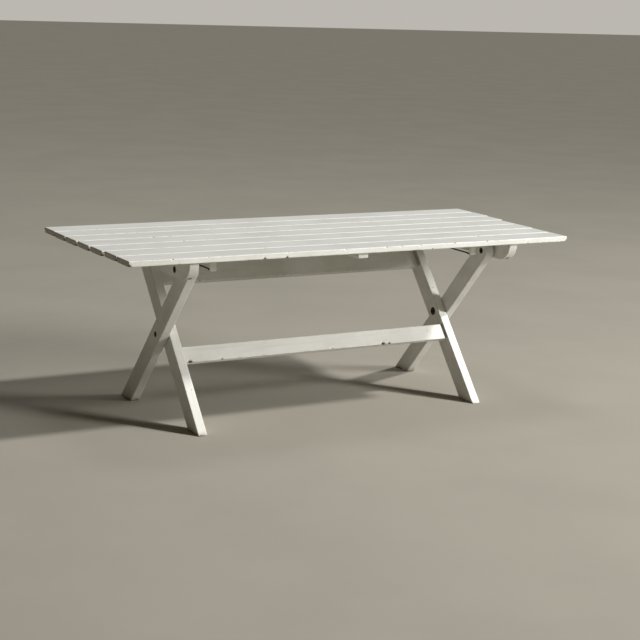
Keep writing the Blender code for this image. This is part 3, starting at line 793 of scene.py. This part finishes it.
def railPlaces(node):
    place, half = boardPlace(node, (1, 0, 0), innerLegFront)
    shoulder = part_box("inner_leg_right")[0].x - touchGap
    tenon = Vector(((half.x - shoulder) + 0.002, half.y - railLook["tenonShoulder"][0],
                    half.z - railLook["tenonShoulder"][1]))
    return place, half, shoulder, tenon


def makeRail(node, name, dents):
    place, half, shoulder, tenon = railPlaces(node)
    body = Vector((shoulder, half.y, half.z))
    bm = blockMesh(body)
    outline = boardOutline(bm)
    lengthwise = [edge for edge in bm.edges if abs(edge.verts[0].co.x - edge.verts[1].co.x) > shoulder]
    bevelEdges(bm, lengthwise, railLook["edgeRound"], 4)
    refineBoard(bm, body, railLook["spacing"])
    wear = {"offset": (1.9, 6.2, 3.8 if dents else 8.8), "scale": 55, "cover": 0.44,
            "depth": railLook["chipDepth"], "dents": dents}
    bm.normal_update()
    for end in (-1, 1):
        tip = blockMesh(((half.x - shoulder) / 2 + 0.0005, tenon.y, tenon.z))
        bmesh.ops.translate(tip, verts=tip.verts, vec=(end * ((half.x + shoulder) / 2 - 0.0005), 0, 0))
        bevelEdges(tip, [edge for edge in tip.edges], 0.0008, 1)
        mesh = toMesh(tip, "tenon")
        bm.from_mesh(mesh)
        bpy.data.meshes.remove(mesh)
    finishBoard(name, bm, place, body, outline, (), wear, railPaint, "inner_frame", [node])


stretcherHalf = railPlaces("lower_stretcher")[1]
stretcherDents = [((x, -stretcherHalf.y, stretcherHalf.z), size) for x, size in railLook["stretcherDents"]]
railSizes = []
for node in ("upper_rail", "lower_stretcher"):
    place, half, shoulder, tenon = railPlaces(node)
    railSizes.append((place, Vector(((half.x - shoulder) / 2 + 0.0015, tenon.y, tenon.z)), half.x + 0.0015))
for name, label, side in sides:
    makeOuterLeg(name, label, side)
    makeInnerLeg(name, label, side, railSizes)
makeRail("upper_rail", "upperRail", [])
makeRail("lower_stretcher", "lowerStretcher", stretcherDents)
print("trestles made")


# Blocks that hold the stays

blockLook = {"edgeRound": 0.002, "spacing": 0.004, "eyeHole": 0.0021, "eyeHoleEnd": 0.0115}


def makeBlock(name, label, side):
    node = f"stay_block_{name}"
    place, half = boardPlace(node, (0, 0, 1), (1, 0, 0))
    bm = blockMesh(half)
    outline = boardOutline(bm)
    bevelEdges(bm, sharpEdges(bm), blockLook["edgeRound"], 3)
    refineBoard(bm, half, blockLook["spacing"])
    hinge = jointPlace[f"stay_swing_{name}"]
    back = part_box(node)[1].y
    cutter = bmesh.new()
    bore = Matrix.Translation((hinge.x, back + 0.002, hinge.z)) @ Matrix.Rotation(pi / 2, 4, "X")
    hole, end = blockLook["eyeHole"], blockLook["eyeHoleEnd"]
    spinProfile(cutter, [(0, 0), (hole, 0), (hole, end), (0, end)], place.inverted() @ bore, 24)
    wear = {"offset": (side * 2.3, 5.1, 6.6), "scale": 60, "cover": 0.34, "depth": 0.0012, "dents": ()}
    finishBoard(f"stayBlock{label}", bm, place, half, outline, boardEnds(half), wear, railPaint,
                "table_top", [node], cutter)


# Hinge bolts, nuts, rings and slat screws

hingeLook = {
    "boltRadius": 0.005,
    "headRadius": 0.011,
    "headHeight": 0.006,
    "threadPitch": 0.0012,
    "threadTurns": 9,
    "nutFlats": 0.017,
    "ringHole": 0.0053,
}


def addOutward(side):
    return Matrix.Rotation(side * pi / 2, 4, "Y")


def boltProfile(seat, end):
    radius, head, height = hingeLook["boltRadius"], hingeLook["headRadius"], hingeLook["headHeight"]
    pitch = hingeLook["threadPitch"]
    profile = [(0, end), (radius * 0.72, end), (radius * 0.92, end + 0.0006), (radius, end + 0.0014)]
    for turn in range(hingeLook["threadTurns"]):
        # the first turns of the thread show past the nut
        profile += [(radius * 0.92, end + 0.0020 + turn * pitch), (radius, end + 0.0026 + turn * pitch)]
    profile += [(radius, seat), (head * 0.97, seat), (head, seat + 0.0006)]
    for step in range(1, 12):
        angle = pi / 2 * step / 12
        profile.append((head * cos(angle), seat + 0.0006 + (height - 0.0006) * sin(angle)))
    return profile + [(0, seat + height)]


def makeBolt(node, name, body, side):
    low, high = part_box(node)
    middle = (low + high) / 2
    outer, inner = (high.x, low.x) if side > 0 else (low.x, high.x)
    place = Matrix.Translation((0, middle.y, middle.z)) @ addOutward(side)
    bm = bmesh.new()
    spinProfile(bm, boltProfile(abs(outer) - hingeLook["headHeight"], abs(inner)), place)
    settle(name, toMesh(bm, name), ironFinish, body, [node])


def makeNut(node, name, body, side):
    low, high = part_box(node)
    middle = (low + high) / 2
    flats, depth = hingeLook["nutFlats"], high.x - low.x
    place = Matrix.Translation(middle) @ addOutward(side)
    bm = bmesh.new()
    reach = flats / 2 / cos(pi / 6)
    bmesh.ops.create_cone(bm, cap_ends=True, segments=6, radius1=reach, radius2=reach,
                          depth=depth, matrix=place)
    # a crown rounds the nut's corners
    crown = bmesh.new()
    flat, tip, shoulder = flats * 0.49, depth / 2 + 0.002, depth / 2 - 0.0014
    half = [(0, tip), (flat, tip), (flat, depth / 2), (reach + 0.0004, shoulder)]
    spinProfile(crown, half + [(radius, -height) for radius, height in reversed(half)], place, 50)
    mesh = applyCuts(toMesh(bm, name), toMesh(crown, "crown"), "INTERSECT")
    bore = bmesh.new()
    hole = hingeLook["ringHole"]
    spinProfile(bore, [(0, -depth), (hole + depth / 2, -depth), (hole, -depth / 2 + 0.0006),
                       (hole, depth / 2 - 0.0006), (hole + depth / 2, depth), (0, depth)], place, 32)
    settle(name, applyCuts(mesh, toMesh(bore, "bore")), rustyIron, body, [node], 25)


def makeRing(node, name, body, side, material, soft):
    low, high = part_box(node)
    middle = (low + high) / 2
    radius, half = (high.z - low.z) / 2, (high.x - low.x) / 2
    hole = hingeLook["ringHole"]
    bm = bmesh.new()
    spots = ((hole, -half + soft), (hole + soft, -half), (radius - soft, -half), (radius, -half + soft),
             (radius, half - soft), (radius - soft, half), (hole + soft, half), (hole, half - soft))
    corners = [bm.verts.new((r, 0, z)) for r, z in spots]
    edges = [bm.edges.new((corners[i - 1], corners[i])) for i in range(len(corners))]
    bmesh.ops.spin(bm, geom=corners + edges, cent=(0, 0, 0), axis=(0, 0, 1),
                   angle=tau, steps=64, use_merge=True)
    bmesh.ops.remove_doubles(bm, verts=bm.verts, dist=1e-6)
    bmesh.ops.recalc_face_normals(bm, faces=bm.faces)
    bmesh.ops.transform(bm, matrix=Matrix.Translation(middle) @ addOutward(side), verts=bm.verts)
    settle(name, toMesh(bm, name), material, body, [node])


screwLook = {
    "headRadius": 0.0042,
    "headHeight": 0.0028,
    "shankRadius": 0.0021,
    "slot": 0.0009,
    "threads": 11,
    "tip": 0.003,
}


def makeScrew(node, name):
    low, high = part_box(node)
    middle = (low + high) / 2
    length = high.z - low.z
    head, height, shank = screwLook["headRadius"], screwLook["headHeight"], screwLook["shankRadius"]
    profile = [(0, 0), (head * 0.55, 0.0001), (head * 0.8, 0.0004), (head * 0.95, 0.0010), (head, 0.0018),
               (head, height - 0.0002), (head * 0.96, height), (shank, height)]
    tip = screwLook["tip"]
    start, pitch = length * 0.45, (length * 0.45 - tip) / screwLook["threads"]
    for turn in range(screwLook["threads"]):
        profile += [(shank * 0.78, start + turn * pitch), (shank, start + (turn + 0.4) * pitch)]
    profile += [(shank * 0.7, length - tip), (0, length)]
    place = Matrix.Translation((middle.x, middle.y, low.z))
    bm = bmesh.new()
    spinProfile(bm, profile, place, 20)
    slotTool = bmesh.new()
    turned = Matrix.Rotation(middle.y * 9 + middle.x * 3, 4, "Z")
    size = Matrix.Diagonal((head * 3, screwLook["slot"], 0.0022, 1))
    bmesh.ops.create_cube(slotTool, size=1.0, matrix=place @ turned @ size)
    mesh = applyCuts(toMesh(bm, name), toMesh(slotTool, "slot"))
    settle(name, mesh, steelFinish, "table_top", [node])


# The stays: a screw eye behind each block, a rod, and a stud on the inner leg

stayLook = {
    "rodRadius": 0.003,
    "hingeLoop": 0.0065,
    "hookLoop": 0.0098,
    "eyeWire": 0.00175,
    "eyeRing": 0.006,
    "eyeShank": 0.009,
    "studRadius": 0.003,
}


def arcPoints(radius, first, last, steps):
    angles = [radians(first + (last - first) * step / steps) for step in range(steps + 1)]
    return [(radius * cos(angle), radius * sin(angle)) for angle in angles]


def makeWire(node, name, points, radius, body):
    curve = bpy.data.curves.new(name, "CURVE")
    curve.dimensions = "3D"
    curve.bevel_depth = radius
    curve.bevel_resolution = 5
    curve.use_fill_caps = True
    spline = curve.splines.new("POLY")
    spline.points.add(len(points) - 1)
    for point, place in zip(spline.points, points):
        point.co = (*place, 1)
    holder = bpy.data.objects.new(name + "Curve", curve)
    bpy.context.scene.collection.objects.link(holder)
    graph = bpy.context.evaluated_depsgraph_get()
    mesh = bpy.data.meshes.new_from_object(holder.evaluated_get(graph))
    bpy.data.objects.remove(holder, do_unlink=True)
    bm = bmesh.new()
    bm.from_mesh(mesh)
    bmesh.ops.remove_doubles(bm, verts=bm.verts, dist=1e-6)
    bmesh.ops.recalc_face_normals(bm, faces=bm.faces)
    bm.to_mesh(mesh)
    bm.free()
    settle(name, mesh, ironFinish, body, [node])


def makeStay(name, label, side):
    hinge = jointPlace[f"stay_swing_{name}"]
    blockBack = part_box(f"stay_block_{name}")[1].y
    ring = stayLook["eyeRing"]
    points = [Vector((0, blockBack - stayLook["eyeShank"] - hinge.y, 0)), Vector((0, blockBack - hinge.y, 0))]
    for forward, up in arcPoints(ring, 180, 520, 44):
        points.append(Vector((0, forward - ring, up)))
    makeWire(f"stay_eye_{name}", f"stayEye{label}", [hinge + point for point in points],
             stayLook["eyeWire"], "table_top")

    loop = stayLook["hingeLoop"]
    points = [Vector((-side * sideways, forward, 0)) for forward, sideways in arcPoints(loop, 298, 38, 30)]
    tangent = (points[-1] - points[-2]).normalized()
    runStart = Vector((0, loop * 2.1, 0))
    bend = geometry.interpolate_bezier(points[-1], points[-1] + tangent * 0.0035,
                                       runStart - Vector((0, 0.005, 0)), runStart, 10)
    points += bend[1:]
    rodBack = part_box(f"stay_rod_{name}")[1].y - hinge.y
    hook = stayLook["hookLoop"]
    loopY = rodBack - hook - stayLook["rodRadius"]
    hookStart = loopY - hook
    for step in range(1, 40):
        points.append(Vector((0, runStart.y + (hookStart - 0.006 - runStart.y) * step / 40, 0)))
    for forward, up in arcPoints(hook, 180, -140, 44):
        points.append(Vector((0, loopY + forward, up)))
    makeWire(f"stay_rod_{name}", f"stayRod{label}", [hinge + point for point in points],
             stayLook["rodRadius"], f"stay_{name}")

    low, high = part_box(f"stay_stud_{name}")
    middle = (low + high) / 2
    radius = stayLook["studRadius"]
    inner, outer = (low.x, high.x) if side > 0 else (high.x, low.x)
    profile = [(0, abs(inner)), (radius * 0.55, abs(inner)), (radius * 0.9, abs(inner) + 0.0003),
               (radius, abs(inner) + 0.0010), (radius, abs(outer)), (0, abs(outer))]
    bm = bmesh.new()
    spinProfile(bm, profile, Matrix.Translation((0, middle.y, middle.z)) @ addOutward(side), 32)
    settle(f"stayStud{label}", toMesh(bm, "stud"), ironFinish, "inner_frame",
           [f"stay_stud_{name}"])


for name, label, side in sides:
    makeBlock(name, label, side)
    makeStay(name, label, side)
    makeBolt(f"pivot_bolt_{name}", f"foldBolt{label}", "table_top", side)
    makeNut(f"pivot_nut_{name}", f"foldNut{label}", "table_top", side)
    makeRing(f"pivot_spacer_{name}", f"foldSpacer{label}", "table_top", side, bareWood, 0.0008)
    makeBolt(f"crossing_bolt_{name}", f"crossBolt{label}", "inner_frame", side)
    makeNut(f"crossing_nut_{name}", f"crossNut{label}", "inner_frame", side)
    makeRing(f"crossing_washer_{name}", f"crossWasher{label}", "inner_frame", side, rustyIron,
             0.0003)
for row, label in (("left", "Left"), ("centre", "Centre"), ("right", "Right")):
    for index in slatNumbers:
        makeScrew(f"slat_screw_{row}_{index}", f"slatScrew{label}{index}")
print("hardware made")


# Floor, light and camera

studioLook = {
    "floorColour": (0.365, 0.342, 0.292),
    "floorSize": 120.0,
    "sunFrom": (0.90, -0.44, 0.90),
    "sunStrength": 2.35,
    "sunSpread": 4.0,
    "windowFrom": (0.71, -0.63, 0.36),
    "windowDistance": 9.0,
    "windowSize": 2.2,
    "windowPower": 715.0,
    "skyFrom": (0.10, 0.25, 1.0),
    "skyDistance": 9.0,
    "skySize": 3.0,
    "skyPower": 110.0,
    "worldColour": (1.0, 0.77, 0.47),
    "worldStrength": 0.055,
    "backdropColour": (0.50, 0.48, 0.44),
}


def makeFloor():
    bm = bmesh.new()
    bmesh.ops.create_grid(bm, x_segments=8, y_segments=8, size=studioLook["floorSize"] / 2)
    mesh = toMesh(bm, "studioFloor")
    floor = bpy.data.objects.new("studioFloor", mesh)
    bpy.context.scene.collection.objects.link(floor)
    material, tree, shader = startMaterial("paleFloor")
    place = addNode(tree, "ShaderNodeTexCoord").outputs["Object"]
    faint = cloud(tree, place, 1.4, 4, 0.55)
    tone = studioLook["floorColour"]
    tree.links.new(blend(tree, fade(tree, faint, 0.35, 0.65), tone, tuple(value * 0.95 for value in tone)),
                   shader.inputs["Base Color"])
    shader.inputs["Roughness"].default_value = 0.85
    addBump(tree, shader, cloud(tree, place, 60.0, 3, 0.6), 0.15, 0.001)
    # open from below, so that the underside can be looked at
    under = addNode(tree, "ShaderNodeNewGeometry").outputs["Backfacing"]
    clear = addNode(tree, "ShaderNodeBsdfTransparent").outputs[0]
    mixed = addNode(tree, "ShaderNodeMixShader", None, {0: under, 1: shader.outputs[0], 2: clear})
    tree.links.new(mixed.outputs[0], tree.nodes["Material Output"].inputs["Surface"])
    mesh.materials.append(material)


def makeSun():
    light = bpy.data.lights.new("softSun", "SUN")
    light.energy = studioLook["sunStrength"]
    light.angle = radians(studioLook["sunSpread"])
    light.color = (1.0, 0.995, 0.97)
    lamp = bpy.data.objects.new("softSun", light)
    lamp.rotation_euler = Vector(studioLook["sunFrom"]).to_track_quat("Z", "Y").to_euler()
    bpy.context.scene.collection.objects.link(lamp)


def makeWorld():
    # dim warm light from all round; the backdrop behind the floor is pale
    world = bpy.data.worlds.new("studioWorld")
    world.use_nodes = True
    tree = world.node_tree
    dim = tree.nodes["Background"]
    dim.inputs["Color"].default_value = (*studioLook["worldColour"], 1)
    dim.inputs["Strength"].default_value = studioLook["worldStrength"]
    backdrop = {"Color": (*studioLook["backdropColour"], 1), "Strength": 1.0}
    pale = addNode(tree, "ShaderNodeBackground", None, backdrop)
    seen = addNode(tree, "ShaderNodeLightPath").outputs["Is Camera Ray"]
    mixed = addNode(tree, "ShaderNodeMixShader", None, {0: seen, 1: dim.outputs[0], 2: pale.outputs[0]})
    tree.links.new(mixed.outputs[0], tree.nodes["World Output"].inputs["Surface"])
    bpy.context.scene.world = world
    bpy.context.scene.view_settings.view_transform = "Standard"  # whites stay white


def areaLight(name, direction, distance, size, power, colour, target=(0, 0, 0.45)):
    light = bpy.data.lights.new(name, "AREA")
    light.shape = "DISK"
    light.size = size
    light.energy = power
    light.color = colour
    lamp = bpy.data.objects.new(name, light)
    back = Vector(direction).normalized()
    lamp.location = Vector(target) + back * distance
    lamp.rotation_euler = back.to_track_quat("Z", "Y").to_euler()
    bpy.context.scene.collection.objects.link(lamp)


cameraLook = {
    "place": (-3.0986, -5.4662, 1.6929),
    "yaw": 0.5221,
    "pitch": -0.2111,
    "roll": 0.0367,
    "lens": 86.1,
}


def makeCamera():
    yaw, pitch, roll = cameraLook["yaw"], cameraLook["pitch"], cameraLook["roll"]
    ahead = Vector((sin(yaw) * cos(pitch), cos(yaw) * cos(pitch), sin(pitch)))
    level = Vector((cos(yaw), -sin(yaw), 0))
    upward = level.cross(ahead)
    right = cos(roll) * level + sin(roll) * upward
    top = cos(roll) * upward - sin(roll) * level
    lens = bpy.data.cameras.new("studioCamera")
    lens.lens = cameraLook["lens"]
    lens.sensor_width = 36.0
    camera = bpy.data.objects.new("studioCamera", lens)
    turned = Matrix((right, top, -ahead)).transposed().to_4x4()
    camera.matrix_world = Matrix.Translation(cameraLook["place"]) @ turned
    bpy.context.scene.collection.objects.link(camera)
    bpy.context.scene.camera = camera


makeFloor()
makeSun()
areaLight("windowLight", studioLook["windowFrom"], studioLook["windowDistance"], studioLook["windowSize"],
          studioLook["windowPower"], (1.0, 0.995, 0.97))
areaLight("skyLight", studioLook["skyFrom"], studioLook["skyDistance"], studioLook["skySize"],
          studioLook["skyPower"], (0.97, 0.99, 1.0))
makeWorld()
makeCamera()
print("studio ready")
